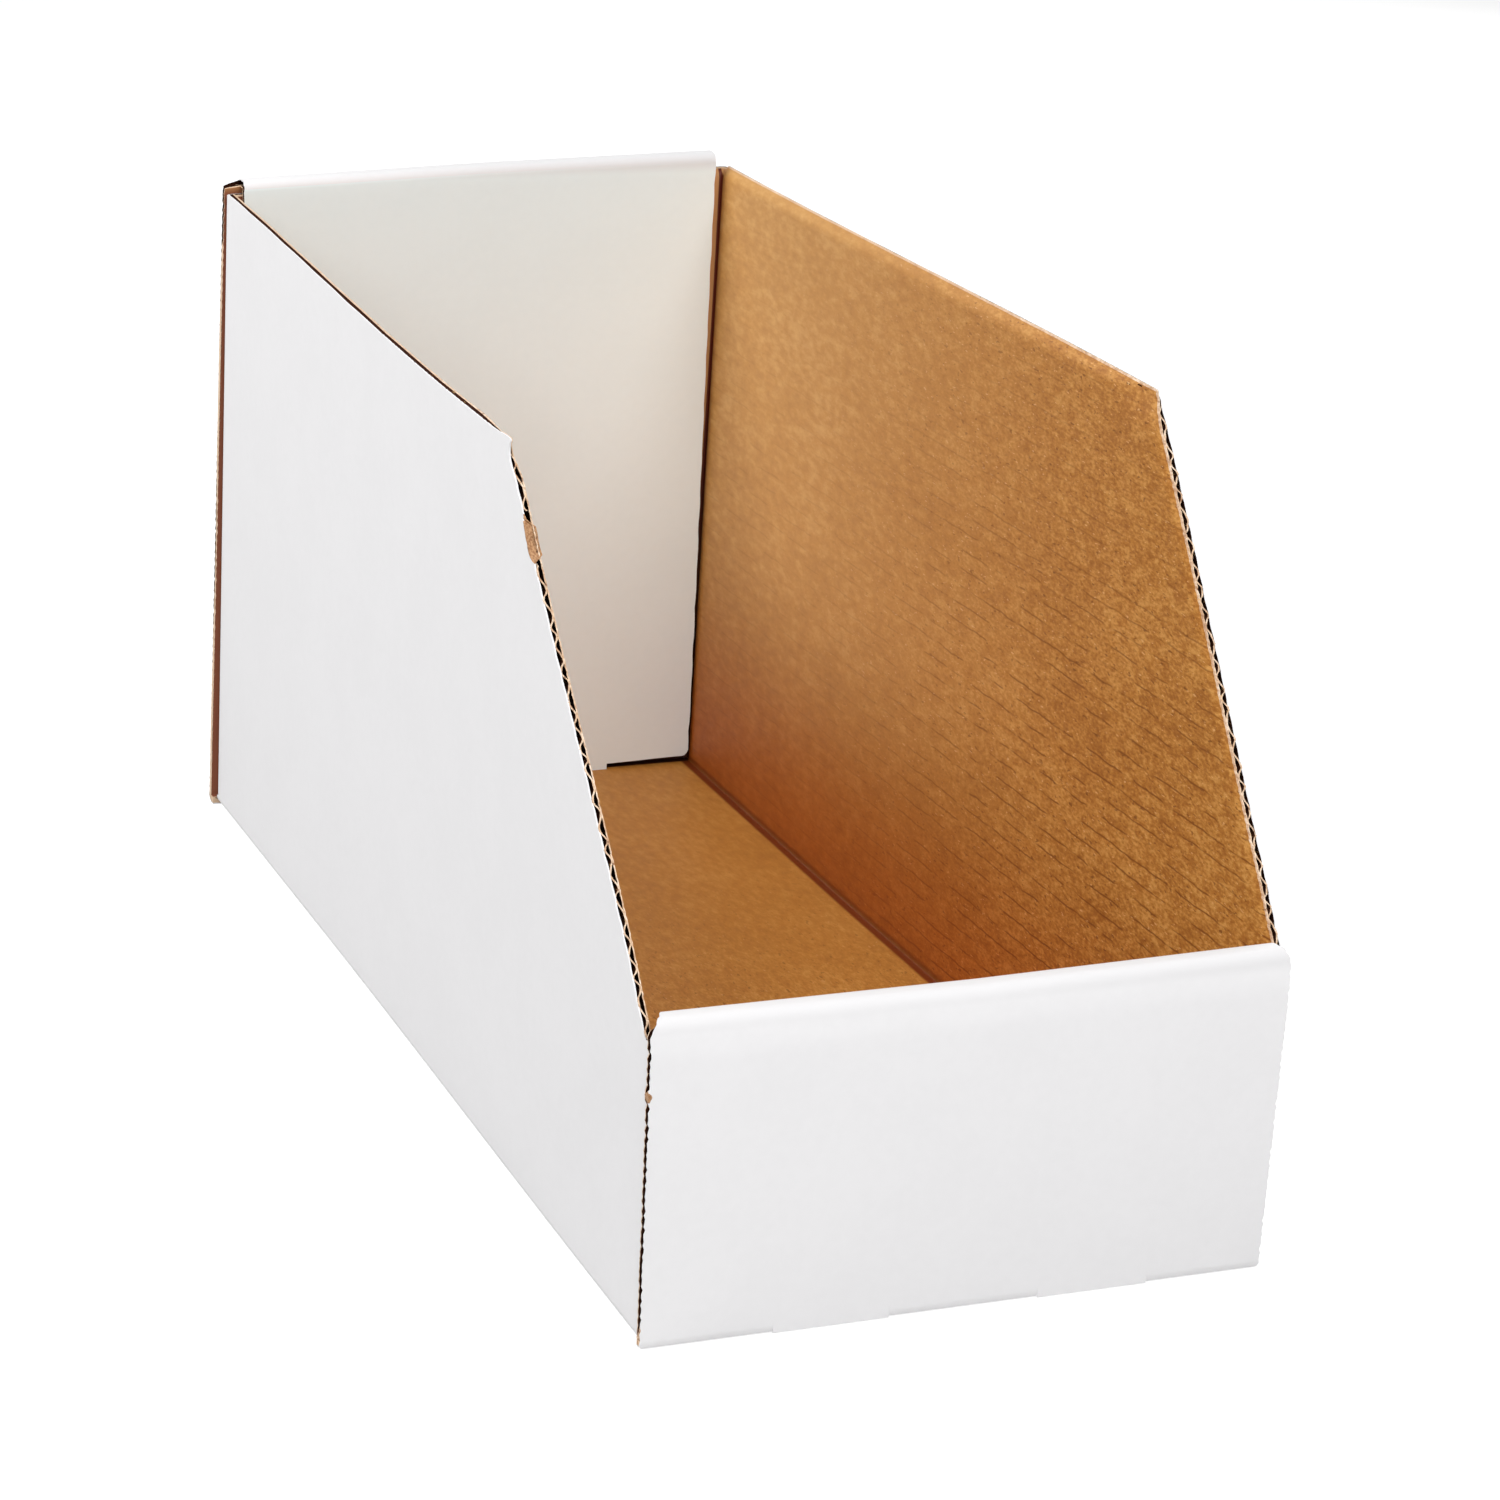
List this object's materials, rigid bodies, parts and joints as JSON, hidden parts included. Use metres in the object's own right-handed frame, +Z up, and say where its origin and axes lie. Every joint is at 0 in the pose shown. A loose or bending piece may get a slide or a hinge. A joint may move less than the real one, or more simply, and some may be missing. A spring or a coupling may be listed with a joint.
{
  "type": "open-front corrugated storage bin",
  "caption": "Open-topped storage bin folded from one sheet of white-faced corrugated board, with sloping front edges and a low rolled lip.",
  "frame": {"origin": "on the ground, under the middle of the bin", "axes": "+Z up, +Y along the length toward the tall back wall, +X across the width; the low lip faces -Y"},
  "size_m": [0.26, 0.61, 0.311],
  "materials": {
    "white_board": "white clay-tinted facing on the outside of the sheet, matt, with soft shading at the folds",
    "brown_board": "brown kraft facing on the inside of the sheet and brown fluted paper at the cut edges, matt and fibrous"
  },
  "bodies": {
    "root": {"folded_bin": "white_board"}
  },
  "joints": []
}
